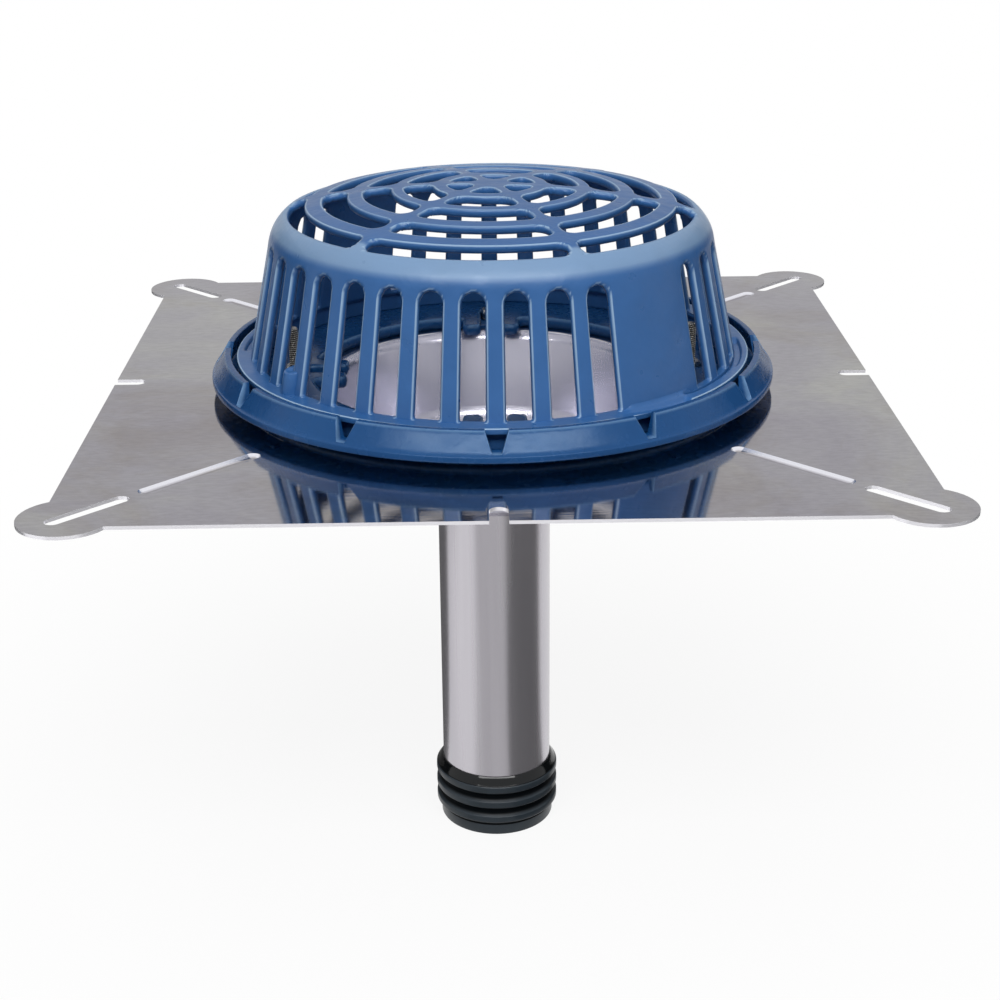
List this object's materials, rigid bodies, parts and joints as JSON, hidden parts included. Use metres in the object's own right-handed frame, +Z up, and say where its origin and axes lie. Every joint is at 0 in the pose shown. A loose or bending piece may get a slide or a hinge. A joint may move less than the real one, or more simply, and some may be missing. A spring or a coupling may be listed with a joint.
{
  "type": "roof drain",
  "caption": "Flat roof drain: square stainless deck flange with drawn sump and long outlet tube, finned pipe seal, clamp ring with gravel stop, and a twist-lock dome strainer.",
  "frame": {"origin": "on the drain's axis in the plane of the deck flange's flat underside, which is the middle of its four fixing slots", "axes": "+Z up, out of the roof, along the axis of outlet, clamp ring and dome; X and Y along the sides of the square flange, -Y being the front"},
  "size_m": [0.4822, 0.4822, 0.4199],
  "materials": {
    "stainless": "smooth mill finish",
    "satin_stainless": "satin",
    "seal_rubber": "smooth moulded",
    "ring_coating": "glossy dark blue epoxy on cast iron",
    "dome_coating": "semi-gloss blue epoxy on cast iron"
  },
  "bodies": {
    "drain": {"deck_flange": "stainless", "outlet_tube": "satin_stainless", "outlet_weld": "satin_stainless", "pipe_seal": "seal_rubber", "clamp_studs": "stainless", "stud_welds": "satin_stainless", "clamp_ring": "ring_coating", "washers": "stainless", "clamp_nuts": "stainless"},
    "dome": {"dome_strainer": "dome_coating"}
  },
  "joints": [
    {"name": "dome_twist", "type": "hinge", "parent": "drain", "child": "dome", "pos_m": [0, 0, 0.0091], "axis": [0, 0, 1], "range_deg": [0, 12]}
  ]
}
